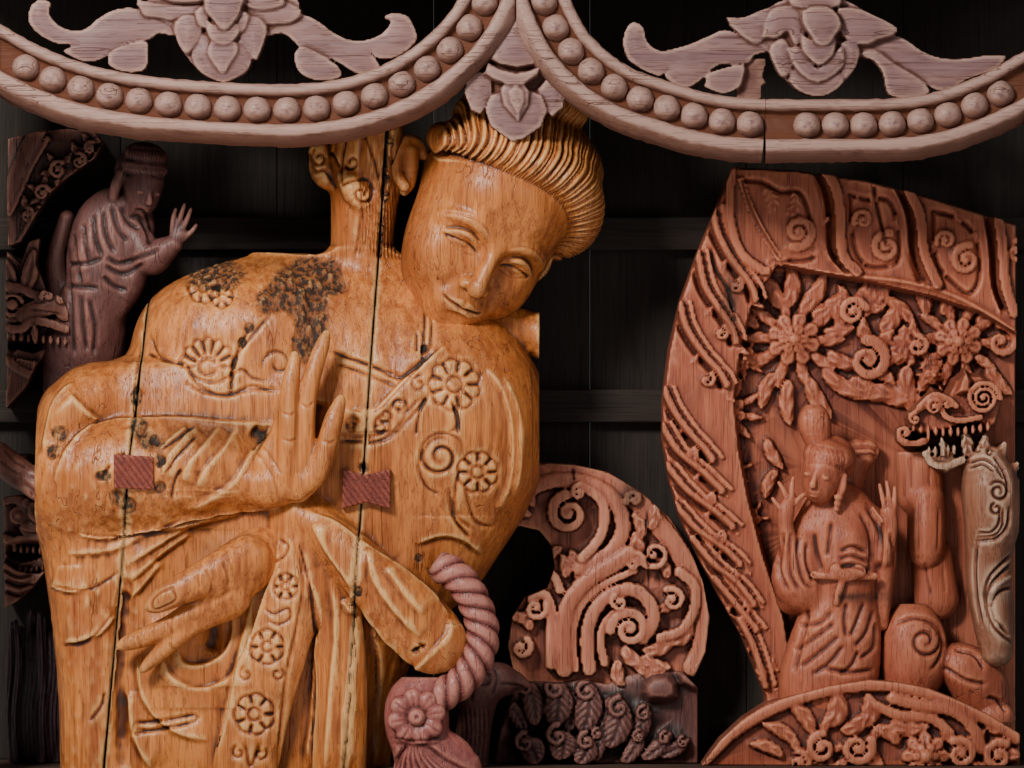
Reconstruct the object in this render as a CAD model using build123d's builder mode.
"""Carved timber bay of a temple facade, in its own frame.

A robed figure stands under a beaded arch of two hanging lobes, between a tall scroll panel and smaller
carvings. All of it stands on a plain sill, in front of a wall of boards, under a plain head board.
Sizes are in millimetres: x runs across the bay, y runs back and z runs up from the sill's underside.
The carvings are set out by x, by h, the height over the sill, and by d,
the distance in front of the boards.
"""

from math import cos, pi, radians, sin
import os

from build123d import *

os.makedirs("parts", exist_ok=True)

# Frame of the bay
bay_width = 1400
bay_depth = 350
sill_height = 90
sill_chamfer = 6
head_height = 50
opening_height = 990
drawn_width = 1280
drawn_height = 990
post_width = 60
post_depth = 70
board_thickness = 25
board_count = 7
rail_height = 42
rail_thickness = 22
upper_rail_at = 672
lower_rail_at = 452

# Beaded arch
arch_back = 252
arch_front = 310
arch_groove = 16
arch_below = 46
arch_above = 32
arch_chamfer = 10
fillet_step = 4
bead_diameter = 34
bead_pitch = 36.3
bead_sides = 5
cusp_drawn_at = 5
far_joint_drawn_at = 313
uncarved_length = 28

# Figure
body_sides = 18
body_squareness = 2.7
pleat_depth = 9
key_length = 60
key_width = 50
key_waist = 34
key_thickness = 20
patch_size = 50
rope_radius = 22
rope_strands = 3
rope_turn = 34
seam_gap = 0.6

# Left fringe
strand_count = 5
strand_pitch = 15
strand_top = 195
strand_step = 12

# Relief
scroll_rib = 9
let_in = 2
flat_enough = 1e-7

board_face = bay_depth / 2 - board_thickness
inner_width = bay_width - 2 * post_width
post_front = board_face + bay_depth / 2 - 10
FRONT = Vector(0, -1, 0)

# The carvings are drawn for one size of opening and follow the frame when it changes
spread = inner_width / drawn_width
rise = opening_height / drawn_height
cusp_at = cusp_drawn_at * spread
far_joint_at = far_joint_drawn_at * spread


def at(x, h, d):
    """The point x across the bay, h over the sill and d in front of the boards."""
    return Vector(x, board_face - d, sill_height + h)


def spot(x, h, d):
    """The place in the opening of a point drawn for its first size."""
    return at(x * spread, h * rise, d)


def face_plane(d):
    """The upright plane d in front of the boards, seen from the front, with h as its second axis."""
    return Plane(origin=at(0, 0, d), x_dir=(1, 0, 0), z_dir=FRONT)


def facets(rings):
    """A closed solid of flat knife cuts between rings of points: a ruled loft with no curved face."""
    faces = [Face(Wire.make_polygon(rings[0])), Face(Wire.make_polygon(rings[-1]))]
    for low, high in zip(rings, rings[1:]):
        for k in range(len(low)):
            n = (k + 1) % len(low)
            a, b, c, d = low[k], low[n], high[n], high[k]
            if abs((b - a).cross(d - a).normalized().dot(c - a)) < flat_enough:
                faces.append(Face(Wire.make_polygon([a, b, c, d])))
            else:
                faces.append(Face(Wire.make_polygon([a, b, c])))
                faces.append(Face(Wire.make_polygon([a, c, d])))
    return Solid(Shell(faces))


def slab(points, d0, d1, bevel=0.0, place=spot):
    """A flat carving around the points (x, h); bevel is the share by which its front face draws in."""
    x = sum(p[0] for p in points) / len(points)
    h = sum(p[1] for p in points) / len(points)
    top = [(x + (p[0] - x) * (1 - bevel), h + (p[1] - h) * (1 - bevel)) for p in points]
    return facets([[place(*p, d0) for p in points], [place(*p, d1) for p in top]])


def block(x0, x1, h0, h1, d0, d1):
    """A squared timber between two values of x, h and d."""
    return slab([(x0, h0), (x1, h0), (x1, h1), (x0, h1)], d0, d1, place=at)


def ellipse_points(wide, deep, sides, turn=0.0, squareness=2.0):
    """Corners of a many-sided oval, squarer as squareness rises."""
    corners = []
    for k in range(sides):
        a = 2 * pi * k / sides
        c, s = cos(a), sin(a)
        x = wide * abs(c) ** (2 / squareness) * (1 if c >= 0 else -1)
        y = deep * abs(s) ** (2 / squareness) * (1 if s >= 0 else -1)
        corners.append((x * cos(turn) - y * sin(turn), x * sin(turn) + y * cos(turn)))
    return corners


def path_planes(places):
    """A plane square to the path at each of its points, with its x axis across the front view."""
    planes = []
    for k, here in enumerate(places):
        before = places[max(k - 1, 0)]
        after = places[min(k + 1, len(places) - 1)]
        along = (after - before).normalized()
        planes.append(Plane(origin=here, x_dir=along.cross(FRONT).normalized(), z_dir=along))
    return planes


def limb(stations, sides=7):
    """A knife-cut limb through stations (x, h, d, half width, half depth)."""
    planes = path_planes([spot(*s[:3]) for s in stations])
    rings = []
    for plane, station in zip(planes, stations):
        rim = ellipse_points(station[3] * spread, station[4], sides)
        rings.append([plane.from_local_coords(Vector(*p)) for p in rim])
    return facets(rings)


def spiral_points(x, h, radius, turns, start, hand, steps):
    """Points of a spiral that winds in from its radius to a fifth of it."""
    found = []
    for k in range(steps + 1):
        t = k / steps
        a = radians(start) + hand * 2 * pi * turns * t
        r = radius * (1 - 0.8 * t)
        found.append((x + r * cos(a), h + r * sin(a)))
    return found


def scroll(x, h, radius, d0, d1, turns=1.4, start=90, hand=1, rib=scroll_rib, steps=6):
    """A raised spiral rib, as wide as rib, that winds in on itself."""
    outer = spiral_points(x, h, radius, turns, start, hand, steps)
    inner = spiral_points(x, h, radius - rib, turns, start, hand, steps)
    return slab(outer + inner[::-1], d0, d1)


def rosette(x, h, radius, d0, d1, petals=8, waist=0.72):
    """A flower of knife-cut petals round a raised button, as two solids."""
    rim = []
    for k in range(2 * petals):
        r = radius if k % 2 == 0 else radius * waist
        a = pi * k / petals
        rim.append((x + r * cos(a), h + r * sin(a)))
    button = [
        (x + radius * 0.3 * cos(pi * k / 3), h + radius * 0.3 * sin(pi * k / 3)) for k in range(6)
    ]
    return [slab(rim, d0, d0 + (d1 - d0) * 0.7, 0.25), slab(button, d0, d1, 0.3)]


full_leaf = [(0, 0), (0.42, 0.25), (0.44, 0.62), (0, 1), (-0.44, 0.62), (-0.42, 0.25)]
slim_leaf = [(0, 0), (0.46, 0.5), (0, 1), (-0.46, 0.5)]


def leaf(x, h, length, width, angle, d0, d1, bevel=0.15, outline=full_leaf):
    """A pointed leaf from its root (x, h), with angle measured from upright, clockwise."""
    a = radians(angle)
    corners = []
    for across, along in outline:
        u, v = across * width, along * length
        corners.append((x + u * cos(a) + v * sin(a), h - u * sin(a) + v * cos(a)))
    return slab(corners, d0, d1, bevel)


def clear_away(made, others):
    """Takes what finished neighbours fill out of the piece being made, so that they meet face to face."""
    box = made.part.bounding_box()
    near = [other.part for other in others if box.overlaps(other.part.bounding_box())]
    if near:
        add(near, mode=Mode.SUBTRACT)


def keep(made, name):
    """Names and writes the main solid of a finished piece, without loose chips that a cut can leave."""
    solid = made.part.solids().sort_by(SortBy.VOLUME)[-1]
    solid.label = name
    export_step(solid, f"parts/{name}.step")


# The frame: sill, head board, posts, wall boards and rails
with BuildPart() as sill:
    add(
        block(
            -bay_width / 2, bay_width / 2, -sill_height, 0, -board_thickness,
            bay_depth - board_thickness,
        )
    )
    chamfer(sill.edges().filter_by(Axis.X).group_by(Axis.Y)[0], sill_chamfer)
keep(sill, "sill")

with BuildPart() as head_board:
    add(
        block(
            -bay_width / 2, bay_width / 2, opening_height, opening_height + head_height,
            -board_thickness,
            bay_depth - board_thickness,
        )
    )
keep(head_board, "head_board")

for name, side in (("left_post", -1), ("right_post", 1)):
    near, far = sorted((side * inner_width / 2, side * bay_width / 2))
    with BuildPart() as post:
        add(block(near, far, 0, opening_height, post_front - post_depth, post_front))
    keep(post, name)

board_width = bay_width / board_count
for k in range(board_count):
    left = -bay_width / 2 + k * board_width
    with BuildPart() as wall_board:
        add(block(left, left + board_width - seam_gap, 0, opening_height, -board_thickness, 0))
    keep(wall_board, f"wall_board_{k + 1}")

rails = []
for name, height in (("upper_rail", upper_rail_at), ("lower_rail", lower_rail_at)):
    low = height - rail_height / 2
    with BuildPart() as rail:
        add(block(-bay_width / 2, bay_width / 2, low, low + rail_height, 0, rail_thickness))
    keep(rail, name)
    rails.append(rail)


# The beaded arch: a moulding swept along each hanging lobe, with a row of knife-cut beads in its groove
left_line = [
    (-650, 898), (-589, 865), (-516, 840), (-428, 826), (-312, 819), (-228, 822), (-154, 842), (-92, 879),
    (-45, 930), (-11, 1002),
]
right_line = [(22, 1002), (41, 948), (72, 891), (128, 845), (195, 820), (254, 805), (312, 800)]
far_line = [(312, 800), (398, 800), (465, 801), (531, 810), (595, 834), (650, 865)]


def arch_path(line):
    """The ends of the bead line's runs, one for each bead, in the opening as it is."""
    with BuildLine() as smooth:
        Spline(*[(x * spread, h * rise) for x, h in line])
    curve = smooth.edge()
    runs = round(curve.length / bead_pitch)
    places = []
    for k in range(runs + 1):
        here = curve.position_at(k / runs)
        places.append((here.X, here.Y))
    return places


def moulding(places):
    """The arch's section swept along its bead line, with a mitre after every second bead."""
    with BuildLine(face_plane(0)) as rail:
        Polyline(*places[:-1:2], places[-1])
    path = rail.wire()
    along = path.tangent_at(0)
    section = Plane(origin=path.position_at(0), x_dir=along.cross(FRONT).normalized() * -1, z_dir=along)
    half = bead_diameter / 2 + let_in
    mid = arch_front - arch_groove
    with BuildPart() as made:
        with BuildSketch(section):
            Polygon(
                (-arch_below, arch_back + arch_chamfer),
                (-arch_below + arch_chamfer, arch_front),
                (-half, arch_front),
                (-half, mid),
                (half, mid),
                (half, arch_front - fillet_step),
                (arch_above, arch_front - fillet_step),
                (arch_above, arch_back),
                (-arch_below + arch_chamfer, arch_back),
            )
        sweep(path=path, transition=Transition.RIGHT)
    return made.part


def beads(places, first, last):
    """One knife-cut bead in the middle of each run of the arch, from the first run to the last."""
    made = []
    radius = bead_diameter / 2
    mid = arch_front - arch_groove
    for k in range(first, last):
        x = (places[k][0] + places[k + 1][0]) / 2
        h = (places[k][1] + places[k + 1][1]) / 2
        rings = []
        for proud, share in ((0, 1.0), (0.85, 0.6)):
            rim = ellipse_points(radius * share, radius * share, bead_sides)
            rings.append([at(x + p[0], h + p[1], mid + proud * radius) for p in rim])
        made.append(facets(rings))
    return made


# What the inside of the frame leaves for the carvings on each side of the cusp
left_half = block(-inner_width / 2, cusp_at, 0, opening_height, 0, bay_depth)
right_half = block(cusp_at, far_joint_at, 0, opening_height, 0, bay_depth)
far_half = block(far_joint_at, inner_width / 2, 0, opening_height, 0, bay_depth)

left_places, right_places, far_places = (arch_path(line) for line in (left_line, right_line, far_line))
left_moulding, right_moulding, far_moulding = (
    moulding(places) for places in (left_places, right_places, far_places)
)

with BuildPart() as arch_left:
    add([left_moulding, *beads(left_places, 0, len(left_places) - 1)])
    add(left_half, mode=Mode.INTERSECT)
keep(arch_left, "arch_left")

with BuildPart() as arch_right:
    add([right_moulding, *beads(right_places, 0, len(right_places) - 1)])
    add(right_half, mode=Mode.INTERSECT)
keep(arch_right, "arch_right")

# The far half of the right lobe starts with an uncarved block where a bead would be
joint_h = far_places[0][1]
with BuildPart() as arch_far:
    add([far_moulding, *beads(far_places, 1, len(far_places) - 1)])
    add(
        block(
            far_joint_at, far_joint_at + uncarved_length, joint_h - 0.6 * bead_diameter,
            joint_h + 0.8 * bead_diameter,
            arch_front - arch_groove - let_in, arch_front - let_in,
        )
    )
    add(far_half, mode=Mode.INTERSECT)
keep(arch_far, "arch_far")

arches = [arch_left, arch_right, arch_far]

# Leaf ornaments over the arch: the outline of the right wing, from the middle of the boss
wing_outline = [
    (-224, 52), (-240, 41), (-241, 24), (-232, 9), (-182, -22), (-150, -20), (-142, -32), (-121, -41),
    (-101, -39), (-89, 4), (-70, 10), (0, 1), (0, 51), (-85, 49), (-146, 26), (-191, 11), (-208, 18),
    (-217, 34),
]
wing_back = 266
wing_front = 292
petal_step = 8
# Petals of the boss: (x, h, length, width, angle, steps forward)
side_petals = [(18, 22, 50, 36, 155, 1), (10, 32, 66, 44, 80, 1)]
middle_petals = [
    (0, 22, 78, 66, 180, 1), (0, 44, 64, 48, 180, 2), (0, 30, 56, 50, 0, 1), (0, 30, 44, 30, 180, 3),
]


def palmette_cuts(x, h):
    """A leafy boss between two scrolled wings, centred on (x, h)."""
    cuts = []
    for side in (1, -1):
        cuts.append(slab([(x + side * a, h + b) for a, b in wing_outline], wing_back, wing_front))
        for a, b, length, width, angle, step in side_petals:
            front = wing_front + step * petal_step
            cuts.append(leaf(x + side * a, h + b, length, width, side * angle, wing_back, front))
    for a, b, length, width, angle, step in middle_petals:
        cuts.append(leaf(x + a, h + b, length, width, angle, wing_back, wing_front + step * petal_step))
    return cuts


for name, x, h in (("palmette_left", -355, 904), ("palmette_right", 381, 886)):
    with BuildPart() as palmette:
        add(palmette_cuts(x, h))
        clear_away(palmette, [*arches, head_board])
    keep(palmette, name)

# Hanging leaf under the cusp
with BuildPart() as pendant_leaf:
    add(
        [
            leaf(6, 878, 106, 84, 180, arch_back, arch_front + 6),
            leaf(-8, 895, 90, 46, 208, arch_back, arch_front - 4),
            leaf(21, 895, 90, 46, 152, arch_back, arch_front - 4),
            leaf(6, 852, 62, 56, 0, arch_back, arch_front),
            leaf(6, 862, 50, 38, 180, arch_back, arch_front + 12),
        ]
    )
    clear_away(pendant_leaf, arches)
keep(pendant_leaf, "pendant_leaf")

# The figure's robe: outlines in plan from the hem up, each (h, left, right, back, front, pleat depth)
robe_stations = [
    (0, -550, -155, 25, 232, 1.0), (160, -562, -112, 24, 248, 0.9), (235, -572, -36, 22, 254, 0.6),
    (310, -568, 2, 20, 262, 0.2), (397, -578, 23, 18, 262, 0), (460, -570, 20, 18, 258, 0),
    (512, -498, -12, 20, 248, 0), (560, -452, -42, 24, 232, 0), (604, -404, -66, 34, 208, 0),
    (632, -345, -92, 55, 176, 0),
]


def robe_outline(h, left, right, back, front, pleats):
    """One plan of the robe at the height h, with every second corner of its front cut in."""
    wide, deep = (right - left) / 2, (front - back) / 2
    corners = []
    for k, (x, y) in enumerate(ellipse_points(wide, deep, body_sides, 0, body_squareness)):
        cut = 1 - pleats * pleat_depth / 100 if k % 2 and y < 0 else 1
        corners.append(spot(left + wide + x, h, back + deep - y * cut))
    return corners


robe = facets([robe_outline(*station) for station in robe_stations])

# Raised right arm in its sleeve, and the sleeve that hangs from it
right_sleeve = limb(
    [
        (-562, 410, 170, 52, 60), (-535, 385, 205, 66, 70), (-465, 380, 226, 66, 68),
        (-390, 378, 240, 54, 52), (-325, 365, 250, 34, 34),
    ],
    8,
)
sleeve_fall = limb(
    [
        (-478, 335, 232, 60, 34), (-452, 260, 232, 46, 24), (-434, 185, 228, 34, 18),
        (-425, 85, 222, 26, 16),
    ],
    6,
)

# Left arm's rolled sleeve and the scarf that falls down the front
left_sleeve = limb(
    [
        (-258, 316, 252, 26, 26), (-215, 279, 262, 34, 32), (-159, 222, 268, 42, 34),
        (-109, 170, 262, 46, 30), (-90, 150, 258, 44, 26),
    ],
    7,
)
scarf = limb(
    [
        (-278, 320, 250, 26, 16), (-265, 260, 262, 34, 18), (-284, 179, 262, 37, 18),
        (-312, 85, 254, 37, 18), (-330, 1, 246, 37, 18),
    ],
    6,
)


# Head: its own axes turn, bow and lean against the body's
head_turn = 20
head_bow = 14
head_lean = 21
head_x, head_h, head_d = -28, 692, 158
head_squareness = 2.2
turn, bow, lean = radians(head_turn), radians(head_bow), radians(head_lean)


def leaned(x, y, z):
    """A direction leaned to the side as the head is."""
    return Vector(x * cos(lean) + z * sin(lean), y, -x * sin(lean) + z * cos(lean))


head_side = leaned(cos(turn), sin(turn), 0)
head_face = leaned(sin(turn) * cos(bow), -cos(turn) * cos(bow), -sin(bow))
head_up = leaned(sin(turn) * sin(bow), -cos(turn) * sin(bow), cos(bow))


def head_spot(side, up, face):
    """The point side across, up and face forward of the middle of the head."""
    return spot(head_x, head_h, head_d) + head_side * side * spread + head_up * up + head_face * face


def head_part(stations, sides=10):
    """A part of the head through stations (up, half width, back, face), about its own upright axis."""
    rings = []
    for up, wide, back, face in stations:
        rim = ellipse_points(wide, (face - back) / 2, sides, 0, head_squareness)
        rings.append([head_spot(side, up, (face + back) / 2 + out) for side, out in rim])
    return facets(rings)


skull = head_part(
    [
        (-142, 20, 46, 84), (-130, 38, 26, 96), (-104, 60, -20, 102), (-68, 80, -64, 102),
        (-30, 93, -96, 98), (8, 98, -112, 90), (80, 92, -110, 84), (132, 40, -50, 26),
    ]
)
nose = facets(
    [
        [head_spot(*p) for p in ((-7, 14, 80), (7, 14, 80), (0, 16, 98))],
        [head_spot(*p) for p in ((-19, -52, 90), (19, -52, 90), (0, -44, 127))],
        [head_spot(*p) for p in ((-12, -60, 90), (12, -60, 90), (0, -58, 110))],
    ]
)
lips = facets(
    [
        [
            head_spot(side, -82 + half, back), head_spot(side, -82, back + proud),
            head_spot(side, -82 - half, back),
        ]
        for side, half, back, proud in (
            (-32, 2, 90, 4), (-12, 9, 96, 13), (12, 9, 96, 13), (32, 2, 90, 4),
        )
    ]
)
hair = head_part(
    [
        (58, 112, -130, 62), (84, 116, -134, 88), (110, 106, -120, 90), (134, 82, -96, 68),
        (154, 48, -60, 30),
    ]
)
hair_knot = head_part(
    [(140, 46, -60, 20), (158, 54, -64, 22), (184, 50, -60, 16), (200, 30, -42, 0)], 8,
)
side_roll = limb(
    [(60, 810, 150, 34, 60), (98, 785, 150, 34, 56), (108, 754, 146, 26, 46), (95, 722, 140, 12, 26)],
    6,
)
ear = limb(
    [
        (-135, 788, 160, 16, 22), (-140, 760, 164, 22, 26), (-132, 730, 164, 16, 20),
        (-126, 710, 164, 8, 10),
    ],
    6,
)
neck = limb(
    [
        (-130, 435, 165, 46, 44), (-129, 485, 168, 45, 44), (-125, 535, 170, 44, 46),
        (-102, 585, 168, 46, 50), (-71, 632, 164, 50, 54),
    ],
    6,
)

# The tress beside the head ends in curls on the shoulder
tress = [
    limb(
        [
            (-188, 598, 130, 52, 40), (-189, 648, 150, 42, 40), (-186, 704, 156, 46, 44),
            (-182, 760, 158, 52, 46), (-180, 808, 156, 44, 40),
        ],
        7,
    ),
    limb([(-242, 772, 150, 16, 26), (-238, 745, 156, 17, 26), (-225, 728, 158, 9, 16)], 5),
    limb([(-208, 735, 184, 13, 18), (-192, 715, 196, 18, 16), (-185, 695, 186, 10, 10)], 5),
]
# A cut-off ribbon end that stands out behind the shoulder
ribbon_end = limb(
    [(-62, 548, 150, 26, 24), (-15, 555, 150, 28, 26), (25, 545, 150, 28, 28), (44, 540, 150, 33, 30)],
    7,
)

# Hands, and the flowers down the scarf
scarf_flowers = [(-279, 235), (-302, 150), (-321, 66)]
right_hand = [
    limb(
        [
            (-332, 362, 262, 24, 26), (-296, 360, 272, 30, 26), (-272, 382, 282, 34, 24),
            (-265, 415, 286, 30, 20), (-264, 445, 286, 24, 16),
        ],
        7,
    ),
    limb(
        [
            (-271, 430, 288, 12, 13), (-272, 470, 292, 12, 13), (-271, 495, 290, 10, 11),
            (-270, 512, 288, 6, 7),
        ],
        5,
    ),
    limb(
        [
            (-255, 430, 284, 13, 13), (-251, 472, 286, 13, 13), (-242, 510, 284, 11, 11),
            (-234, 540, 280, 6, 7),
        ],
        5,
    ),
    limb(
        [
            (-260, 372, 286, 16, 15), (-238, 395, 294, 15, 14), (-224, 429, 296, 12, 12),
            (-218, 465, 292, 6, 7),
        ],
        5,
    ),
]
left_hand = [
    limb(
        [
            (-305, 290, 246, 34, 22), (-320, 265, 262, 42, 28), (-340, 238, 268, 34, 26),
            (-358, 215, 268, 20, 18),
        ],
        7,
    ),
    limb(
        [
            (-330, 275, 272, 26, 20), (-372, 252, 284, 24, 18), (-412, 228, 288, 18, 15),
            (-445, 206, 284, 11, 10),
        ],
        5,
    ),
    limb(
        [
            (-328, 222, 262, 18, 16), (-375, 195, 264, 16, 14), (-425, 180, 262, 15, 13),
            (-488, 156, 256, 9, 9),
        ],
        5,
    ),
    limb(
        [
            (-345, 212, 262, 13, 13), (-390, 178, 262, 13, 12), (-430, 145, 258, 11, 10),
            (-455, 118, 252, 6, 6),
        ],
        5,
    ),
]

key_x, key_h, key_face = -181, 350, 262
patch_x, patch_h, patch_face = -468, 371, 289


def butterfly(x, h, front):
    """A key that is waisted in its middle, let in across a joint."""
    long, tall, waist = key_length / 2, key_width / 2, key_waist / 2
    outline = [(-long, -tall), (0, -waist), (long, -tall), (long, tall), (0, waist), (-long, tall)]
    return slab([(x + a, h + b) for a, b in outline], front - key_thickness, front)


with BuildPart() as butterfly_key:
    add(butterfly(key_x, key_h, key_face))
keep(butterfly_key, "butterfly_key")

patch_outline = [(-1, -0.8), (1, -0.9), (0.96, 0.75), (-1, 0.9)]
with BuildPart() as square_patch:
    corners = [(patch_x + a * patch_size / 2, patch_h + b * patch_size / 2) for a, b in patch_outline]
    add(slab(corners, patch_face - key_thickness, patch_face))
keep(square_patch, "square_patch")

# Twisted rope, its flower knot and tassel, of a pinker timber
rope_step = 22
rope_line = [
    (-95, 258, 262), (-62, 235, 268), (-40, 192, 268), (-38, 154, 268), (-58, 116, 268), (-90, 92, 268),
    (-108, 80, 268),
]
rope_lobes = 6


def rope_section(plane, swing):
    """The strands' outline at one place along the rope."""
    rim = []
    for k in range(rope_lobes):
        a = 2 * pi * k / rope_lobes
        r = rope_radius * (0.93 + 0.07 * cos(rope_strands * a))
        rim.append(plane.from_local_coords(Vector(r * cos(a + swing), r * sin(a + swing))))
    return rim


def twisted_rope(line):
    """A rope whose strands turn once in each rope_turn times its strands."""
    with BuildLine() as smooth:
        Spline(*[spot(*p) for p in line])
    curve = smooth.edge()
    steps = round(curve.length / rope_step)
    planes = path_planes([curve.position_at(k / steps) for k in range(steps + 1)])
    lay = rope_turn * rope_strands
    return facets(
        [rope_section(plane, 2 * pi * k / steps * curve.length / lay) for k, plane in enumerate(planes)]
    )


rope = twisted_rope(rope_line)
knot_x, knot_h = -118, 68
knot = [
    limb(
        [
            (-118, 35, 262, 36, 26), (-118, 58, 262, 42, 30), (-118, 80, 262, 40, 30),
            (-110, 98, 262, 30, 24),
        ],
        7,
    ),
    *rosette(knot_x, knot_h, 36, 270, 302, 6),
]
tassel = limb(
    [
        (-118, 42, 262, 27, 22), (-115, 25, 262, 36, 24), (-100, 12, 262, 52, 24), (-88, -2, 262, 66, 24),
    ],
    9,
)

with BuildPart() as figure:
    add(
        [
            robe, right_sleeve, sleeve_fall, left_sleeve, scarf, ribbon_end, *right_hand, *left_hand,
            *[petal for x, h in scarf_flowers for petal in rosette(x, h, 24, 262, 281, 5)],
        ]
    )
    add([butterfly_key.part, square_patch.part], mode=Mode.SUBTRACT)
    clear_away(figure, [sill, *rails])


# The body is glued up from three staves; the joints lean a little
def joint_plane(foot_x, top_x, top_h):
    """The upright plane of a joint from its foot on the sill to its top, facing right."""
    along = spot(top_x, top_h, 0) - spot(foot_x, 0, 0)
    return Plane(
        origin=spot(foot_x, 0, 0), x_dir=FRONT, z_dir=Vector(along.Z, 0, -along.X).normalized(),
    )


left_joint = joint_plane(-509, -465, 485)
right_joint = joint_plane(-209, -167, 641)

with BuildPart() as left_stave:
    add(figure.part)
    split(bisect_by=left_joint, keep=Keep.BOTTOM)
keep(left_stave, "left_stave")

with BuildPart() as right_stave:
    add(figure.part)
    split(bisect_by=right_joint, keep=Keep.TOP)
keep(right_stave, "right_stave")

with BuildPart() as centre_stave:
    add(figure.part)
    split(bisect_by=left_joint, keep=Keep.TOP)
    split(bisect_by=right_joint, keep=Keep.BOTTOM)
    add(tress)
    clear_away(centre_stave, [right_stave])
keep(centre_stave, "centre_stave")
staves = [left_stave, centre_stave, right_stave]

with BuildPart() as head:
    add([skull, nose, lips, hair, hair_knot, side_roll, ear, neck])
    clear_away(head, [*staves, *arches, pendant_leaf])
keep(head, "head")

with BuildPart() as cord:
    add([rope, *knot, tassel])
    clear_away(cord, [sill, *staves])
keep(cord, "rope")

# Tall scroll panel on the right: a band of ribbed leaf fields round a flowered ground
band_outer = [
    (279, 755), (360, 751), (448, 738), (535, 715), (639, 682), (639, 542), (591, 570), (535, 589),
    (448, 609), (329, 632), (306, 585), (291, 529), (282, 460), (288, 398), (300, 335), (320, 260),
    (345, 185), (358, 105), (360, 0), (325, 0), (320, 85), (291, 160), (262, 210), (235, 260), (212, 310),
    (198, 360), (190, 410), (190, 460), (198, 522), (212, 585), (235, 648), (258, 704),
]
ground_outline = band_outer[5:19] + [(639, 0)]
band_face = 96
ground_face = 62
rib_width = 10
# Ribs across the band, each bent in its middle
band_ribs = [
    ((382, 748), (405, 685), (425, 615)), ((460, 732), (482, 666), (500, 600)),
    ((542, 710), (558, 641), (570, 581)), ((262, 711), (288, 660), (322, 631)),
    ((239, 650), (262, 598), (300, 570)), ((215, 588), (242, 529), (285, 498)),
    ((199, 520), (235, 454), (284, 422)), ((191, 422), (241, 360), (299, 332)),
    ((204, 338), (260, 275), (321, 248)), ((240, 255), (292, 205), (344, 182)),
]
# Scrolls between them: (x, h, radius, start angle)
band_scrolls = [(348, 704, 26, 60), (442, 675, 22, 90), (528, 650, 22, 90), (600, 629, 20, 90)]
# Flowers: (x, h, radius, petals), and leaves on the band and the ground: (x, h, length, width, angle)
band_leaves = [(250, 620, 34, 18, 20), (224, 474, 34, 18, 10), (232, 318, 34, 18, -20)]
ground_flowers = [(370, 541, 54, 8), (564, 529, 46, 7), (295, 448, 26, 6)]
ground_leaves = [
    (360, 590, 44, 24, -8), (392, 590, 50, 24, 22), (325, 585, 40, 20, -40), (330, 510, 40, 22, -120),
    (360, 479, 52, 22, 180), (405, 490, 56, 24, 128), (432, 475, 56, 26, 105), (460, 590, 34, 24, 4),
    (445, 495, 44, 26, 210), (558, 578, 38, 24, 10), (598, 558, 34, 22, 46), (598, 485, 44, 22, 150),
    (335, 422, 46, 20, 140), (316, 360, 50, 24, 185),
]


def rib(line):
    """A raised rib across the band."""
    left = [(x - rib_width / 2, h) for x, h in line]
    right = [(x + rib_width / 2, h) for x, h in line]
    return slab(left + right[::-1], ground_face, band_face + 8)


with BuildPart() as scroll_panel:
    add(
        [
            slab(band_outer, 0, band_face),
            slab(ground_outline, 0, ground_face),
            *[rib(line) for line in band_ribs],
            *[
                scroll(x, h, size, band_face - let_in, band_face + 6, 1.0, turned, 1, 7, 5)
                for x, h, size, turned in band_scrolls
            ],
            *[
                leaf(*place, ground_face - let_in, ground_face + 14, 0.15, slim_leaf)
                for place in ground_leaves
            ],
            *[leaf(*place, band_face - let_in, band_face + 8, 0.15, slim_leaf) for place in band_leaves],
            scroll(442, 548, 24, ground_face - let_in, ground_face + 16, 1.3, 200, -1),
            scroll(460, 510, 36, ground_face - let_in, ground_face + 18, 1.3, 20, 1),
        ]
    )
    for x, h, size, petals in ground_flowers:
        add(rosette(x, h, size, ground_face - let_in, ground_face + 0.5 * size, petals))
    clear_away(scroll_panel, rails)
keep(scroll_panel, "scroll_panel")

# Carved base that the panel's figures stand on
base_outline = [
    (238, 0), (262, 32), (290, 58), (322, 79), (360, 90), (398, 100), (448, 108), (485, 105), (522, 98),
    (562, 82), (598, 65), (639, 40), (639, 0),
]
base_back = 62
base_face = 150
base_leaves = [
    (310, 29, 60, 34, -30), (410, 66, 60, 34, 60), (491, 62, 60, 30, 100), (610, 38, 50, 32, 120),
]
base_scrolls = [(385, 32, 30, 120, 1), (458, 41, 34, 30, -1), (585, 38, 26, 100, -1)]
with BuildPart() as scroll_base:
    add(
        [
            slab(base_outline, base_back, base_face, 0.06),
            *rosette(519, 14, 30, base_face - 6, base_face + 18, 6),
            *[
                scroll(x, h, size, base_face - 10, base_face + 12, 1.3, turned, hand)
                for x, h, size, turned, hand in base_scrolls
            ],
            *[leaf(*place, base_face - 8, base_face + 10, 0.15, slim_leaf) for place in base_leaves],
        ]
    )
    clear_away(scroll_base, [scroll_panel, sill])
keep(scroll_base, "scroll_base")

# Jointed stem behind the small figures, in three lengths
with BuildPart() as stem:
    add(
        [
            limb([(516, 390, 74, 30, 20), (518, 340, 74, 32, 22)]),
            limb([(525, 339, 78, 24, 22), (525, 272, 80, 26, 26), (525, 265, 78, 20, 20)]),
            limb([(532, 265, 72, 26, 18), (538, 208, 72, 30, 18)]),
        ]
    )
    clear_away(stem, [scroll_panel])
keep(stem, "stem")

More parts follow.
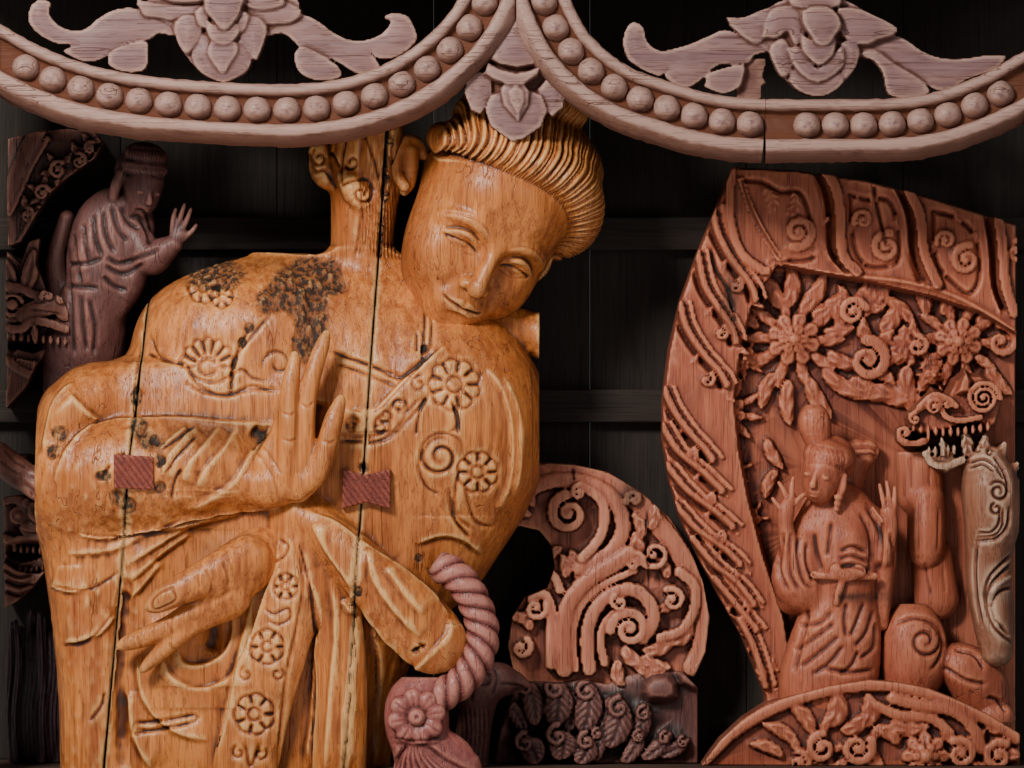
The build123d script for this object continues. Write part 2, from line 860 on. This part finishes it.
# Rolling cloud beside the small figure
with BuildPart() as cloud_scroll:
    add(
        [
            limb(
                [
                    (505, 190, 90, 24, 26), (508, 160, 96, 42, 34), (508, 125, 96, 44, 34),
                    (504, 98, 90, 36, 28),
                ],
            ),
            limb(
                [
                    (545, 142, 88, 26, 26), (568, 122, 92, 36, 32), (591, 98, 90, 38, 28),
                    (598, 70, 84, 34, 20),
                ],
            ),
            scroll(522, 156, 26, 122, 136, 1.4, 90, -1),
        ]
    )
    clear_away(cloud_scroll, [scroll_panel, scroll_base, stem])
keep(cloud_scroll, "cloud_scroll")

# Small praying figure before the panel: head, hair, body, skirt, arms, hands and the shawl behind
attendant_limbs = [
    [
        (390, 332, 122, 10, 12), (388, 348, 130, 21, 23), (390, 379, 136, 32, 34),
        (395, 402, 132, 33, 34), (395, 422, 126, 18, 20),
    ],
    [(385, 412, 124, 20, 20), (381, 432, 124, 23, 22), (380, 448, 122, 12, 12)],
    [(402, 335, 108, 18, 20), (412, 315, 104, 44, 30), (412, 291, 108, 56, 36), (419, 205, 108, 40, 34)],
    [(419, 210, 108, 42, 34), (404, 125, 110, 63, 38), (390, 75, 104, 56, 34)],
    [
        (375, 298, 110, 22, 22), (359, 262, 120, 26, 26), (360, 229, 122, 32, 26),
        (382, 205, 118, 18, 18),
    ],
    [(356, 252, 132, 15, 15), (345, 298, 138, 11, 11), (345, 325, 138, 13, 12), (360, 348, 136, 6, 7)],
    [(450, 308, 106, 22, 22), (468, 275, 112, 18, 20), (470, 222, 112, 12, 14), (469, 175, 108, 7, 9)],
    [(469, 260, 126, 11, 12), (476, 298, 132, 12, 12), (472, 325, 132, 11, 10), (468, 348, 130, 5, 6)],
    [(355, 210, 104, 24, 30), (375, 260, 84, 40, 22), (422, 372, 80, 30, 18), (450, 395, 80, 16, 14)],
]
with BuildPart() as attendant:
    add([limb(stations, 5) for stations in attendant_limbs])
    clear_away(attendant, [scroll_panel, scroll_base, stem, cloud_scroll])
keep(attendant, "attendant")

# Dragon's upper jaw and crest, facing left
dragon_outline = [
    (499, 439), (508, 452), (526, 465), (531, 474), (548, 465), (558, 485), (568, 492), (591, 492),
    (610, 480), (619, 458), (612, 430), (600, 420), (591, 430), (568, 429), (548, 421), (530, 419),
    (516, 415), (502, 425),
]
with BuildPart() as dragon_upper:
    add(
        [
            slab(dragon_outline, ground_face, 126, 0.12),
            scroll(594, 462, 21, 118, 136, 1.8, 0, 1, 6, 13),
            scroll(532, 451, 11, 118, 134, 1.2, 60, 1, 5, 7),
            leaf(565, 460, 30, 18, 0, 110, 138),
        ]
    )
    clear_away(dragon_upper, [scroll_panel])
keep(dragon_upper, "dragon_upper")

# Second dragon: open lower jaw, crest and smooth pale body
jaw_outline = [
    (520, 395), (526, 382), (538, 370), (548, 365), (570, 375), (575, 395), (560, 390), (550, 410),
    (541, 410), (542, 391),
]
dragon_chest = [
    (600, 375, 108, 30, 36), (605, 348, 112, 40, 44), (610, 310, 112, 38, 42), (605, 279, 108, 32, 36),
]
dragon_body = [
    (605, 285, 108, 30, 34), (602, 235, 106, 30, 34), (610, 185, 106, 28, 34), (614, 141, 104, 22, 30),
]
dragon_crest = [
    (575, 390, 34, 22, -8), (592, 382, 36, 22, 12), (610, 378, 34, 22, 34), (622, 362, 30, 20, 60),
]
with BuildPart() as dragon_lower:
    add(
        [
            slab(jaw_outline, ground_face, 118),
            limb(dragon_chest),
            limb(dragon_body, 8),
            *[leaf(*place, 84, 122, 0.15, slim_leaf) for place in dragon_crest],
            scroll(610, 348, 17, 140, 164, 1.3, 150, -1, 6, 8),
        ]
    )
    clear_away(dragon_lower, [scroll_panel, dragon_upper, stem, cloud_scroll, scroll_base])
keep(dragon_lower, "dragon_lower")

# Round scroll of vine, between the figure and the panel
vine_outline = [
    (-18, 372), (10, 378), (41, 380), (79, 378), (122, 368), (166, 341), (200, 310), (225, 272),
    (242, 229), (250, 185), (245, 141), (231, 110), (160, 98), (60, 98), (4, 105), (-5, 148), (0, 185),
    (16, 210), (45, 222), (54, 248), (50, 275), (35, 294), (10, 300), (-18, 300),
]
vine_face = 92
# Scrolls: (x, h, radius, turns, start angle, hand), and leaves: (x, h, length, width, angle)
vine_scrolls = [
    (150, 165, 52, 1.7, 200, -1), (79, 320, 38, 1.5, 180, -1), (45, 166, 30, 1.3, 90, 1),
    (185, 260, 30, 1.3, 30, -1),
]
vine_leaves = [
    (122, 335, 60, 30, 130), (79, 235, 60, 36, 10), (110, 260, 56, 34, 60), (35, 110, 60, 40, -30),
    (98, 110, 70, 40, 90),
]
with BuildPart() as vine_curl:
    add(
        [
            slab(vine_outline, 0, vine_face, 0.03),
            *[
                scroll(x, h, size, vine_face - 4, vine_face + 14, turns, start, hand)
                for x, h, size, turns, start, hand in vine_scrolls
            ],
            *[leaf(*place, vine_face - 4, vine_face + 10, 0.15, slim_leaf) for place in vine_leaves],
        ]
    )
    clear_away(vine_curl, [*rails, *staves, scroll_panel])
keep(vine_curl, "vine_curl")

# Cluster of long leaves under the vine scroll: (x, h, length, width, angle, front)
cluster_leaves = [
    (110, 5, 110, 54, -78, 128), (115, 20, 110, 52, -50, 134), (122, 32, 96, 48, -22, 138),
    (132, 32, 80, 46, 20, 132), (160, 20, 90, 46, 60, 122), (185, 5, 60, 40, 84, 116),
    (60, 2, 60, 40, -88, 140),
]
cluster_face = 96
with BuildPart() as leaf_cluster:
    add(
        [
            slab(
                [(-22, 0), (-15, 41), (8, 105), (60, 102), (160, 102), (229, 112), (235, 85), (235, 0)],
                0,
                cluster_face,
            ),
            *[leaf(*place[:5], cluster_face - 8, place[5], 0.15, slim_leaf) for place in cluster_leaves],
            limb([(179, 78, 92, 20, 22), (195, 98, 100, 26, 26), (200, 115, 96, 16, 16)]),
        ]
    )
    clear_away(leaf_cluster, [vine_curl, scroll_panel, scroll_base, sill, *staves])
keep(leaf_cluster, "leaf_cluster")

# Bird's head on a long neck, facing right
with BuildPart() as bird_head:
    add(
        [
            limb([(-52, -2, 120, 24, 30), (-48, 48, 130, 24, 28), (-35, 85, 140, 26, 28)]),
            limb(
                [
                    (-42, 85, 140, 24, 22), (-35, 100, 146, 28, 28), (-18, 110, 146, 24, 22),
                    (0, 110, 144, 14, 16), (22, 104, 142, 5, 6),
                ]
            ),
            limb([(-25, 92, 142, 14, 14), (-5, 95, 140, 8, 10), (12, 95, 138, 3, 4)], 5),
            scroll(-42, 105, 14, 160, 176, 1.2, 90, 1, 5, 7),
        ]
    )
    clear_away(bird_head, [leaf_cluster, vine_curl, cord, sill, *staves])
keep(bird_head, "bird_head")

# Left group: a carved panel, a small figure with a raised hand, two dragons, a wheel, a claw and a fringe
left_panel_outline = [
    (-640, 791), (-602, 800), (-565, 804), (-530, 800), (-518, 785), (-528, 766), (-565, 741),
    (-590, 716), (-608, 685), (-622, 660), (-640, 655),
]
left_face = 80
with BuildPart() as left_panel:
    add(slab(left_panel_outline, 0, left_face))
    for x, h, size, turned in ((-602, 760, 26, 40), (-558, 775, 20, 90), (-618, 704, 20, 0)):
        add(scroll(x, h, size, left_face - let_in, left_face + 10, 1.2, turned, 1, 7))
    clear_away(left_panel, rails)
keep(left_panel, "left_panel")

upper_head_outline = [
    (-640, 648), (-622, 632), (-612, 660), (-598, 665), (-602, 632), (-590, 598), (-568, 590),
    (-560, 570), (-558, 535), (-565, 520), (-590, 522), (-602, 502), (-615, 475), (-640, 448),
]
head_face_at = 104
with BuildPart() as left_dragon_upper:
    add(
        [
            slab(upper_head_outline, 0, head_face_at, 0.05),
            scroll(-605, 558, 20, head_face_at - 6, head_face_at + 16, 1.3, 90, 1, 6),
            scroll(-575, 562, 14, head_face_at - 6, head_face_at + 14, 1.2, 0, -1, 5),
            *[
                leaf(*place, head_face_at - 14, head_face_at + 16, 0.15, slim_leaf)
                for place in (
                    (-628, 585, 50, 22, -6), (-608, 585, 50, 22, 8), (-570, 525, 26, 14, 190),
                    (-590, 522, 22, 12, 180),
                )
            ],
        ]
    )
    clear_away(left_dragon_upper, [*rails, left_panel, *staves])
keep(left_dragon_upper, "left_dragon_upper")

wheel_x, wheel_h = -534, 460
wheel_radius = 58
with BuildPart() as left_wheel:
    rim = ellipse_points(wheel_radius, wheel_radius, 12)
    add(slab([(wheel_x + a, wheel_h + b) for a, b in rim], 0, 20))
    add(scroll(wheel_x, wheel_h, 52, 18, 40, 1.6, 0, 1, 10, 10))
    clear_away(left_wheel, [*rails, left_dragon_upper, *staves])
keep(left_wheel, "left_wheel")

# Small figure: head, hair, body, raised arm, hand and the shawl behind
left_attendant_limbs = [
    [
        (-468, 698, 96, 10, 12), (-470, 710, 100, 22, 24), (-468, 735, 104, 30, 32),
        (-462, 755, 100, 30, 30), (-462, 770, 96, 16, 18),
    ],
    [(-462, 760, 92, 24, 24), (-458, 775, 92, 26, 26), (-455, 785, 90, 14, 14)],
    [
        (-478, 700, 88, 18, 20), (-500, 682, 86, 50, 34), (-509, 648, 86, 56, 38),
        (-525, 598, 84, 44, 36), (-542, 535, 74, 54, 36), (-552, 480, 60, 46, 24),
    ],
    [
        (-478, 670, 98, 20, 22), (-458, 640, 110, 24, 22), (-440, 648, 118, 18, 18),
        (-425, 660, 122, 12, 12),
    ],
    [
        (-428, 652, 122, 10, 10), (-412, 672, 126, 15, 11), (-406, 691, 124, 6, 6),
        (-404, 705, 122, 3, 4),
    ],
    [
        (-565, 691, 60, 10, 18), (-578, 632, 56, 16, 22), (-565, 572, 56, 22, 22),
        (-550, 522, 50, 20, 20),
    ],
]
with BuildPart() as left_attendant:
    add([limb(stations, 5) for stations in left_attendant_limbs])
    clear_away(left_attendant, [*rails, left_panel, left_dragon_upper, left_wheel, *staves])
keep(left_attendant, "left_attendant")

lower_head_outline = [
    (-640, 338), (-615, 340), (-588, 325), (-565, 318), (-558, 290), (-560, 260), (-580, 252),
    (-602, 225), (-625, 205), (-640, 198),
]
jaws_face = 150
with BuildPart() as left_dragon_lower:
    add(
        [
            slab(lower_head_outline, 0, jaws_face, 0.05),
            scroll(-602, 300, 20, jaws_face - 6, jaws_face + 18, 1.3, 90, 1, 6),
            scroll(-572, 300, 13, jaws_face - 6, jaws_face + 14, 1.2, 0, -1, 5),
            *[
                leaf(*place, jaws_face - 10, jaws_face + 14, 0.15, slim_leaf)
                for place in (
                    (-620, 320, 30, 18, -10), (-570, 258, 26, 14, 190), (-592, 245, 24, 12, 190),
                )
            ],
        ]
    )
    clear_away(left_dragon_lower, [*rails, *staves])
keep(left_dragon_lower, "left_dragon_lower")

# Clawed hand that reaches in from the side, on its tenon
claw_tips = [(-605, 368, -568, 348), (-608, 358, -572, 340), (-612, 352, -585, 332)]
with BuildPart() as claw_hand:
    add(
        [
            limb([(-639, 391, 200, 20, 22), (-620, 372, 206, 22, 22), (-602, 360, 206, 20, 18)]),
            *[
                limb(
                    [
                        (x0, h0, 206, 8, 9), ((x0 + x1) / 2, (h0 + h1) / 2 + 5, 212, 7, 8),
                        (x1, h1, 206, 3, 4),
                    ],
                    4,
                )
                for x0, h0, x1, h1 in claw_tips
            ],
            slab([(-637, 364), (-607, 364), (-607, 392), (-637, 392)], 0, 204),
        ]
    )
    clear_away(claw_hand, [*rails, left_dragon_lower, left_wheel, *staves])
keep(claw_hand, "claw_hand")

# Fringe of hanging strands at the left
with BuildPart() as left_fringe:
    strands = []
    for k in range(strand_count):
        x = -drawn_width / 2 + strand_pitch * (k + 0.7)
        top = strand_top - strand_step * (k % 3)
        half = strand_pitch * 0.7
        strands.append(
            limb(
                [
                    (x, top, 70, half * 0.8, 40), (x + 2, top / 2, 76, half, 46),
                    (x, -4, 70, half * 0.9, 42),
                ],
                4,
            )
        )
    add(strands)
    clear_away(left_fringe, [left_dragon_lower, sill, *staves])
keep(left_fringe, "left_fringe")
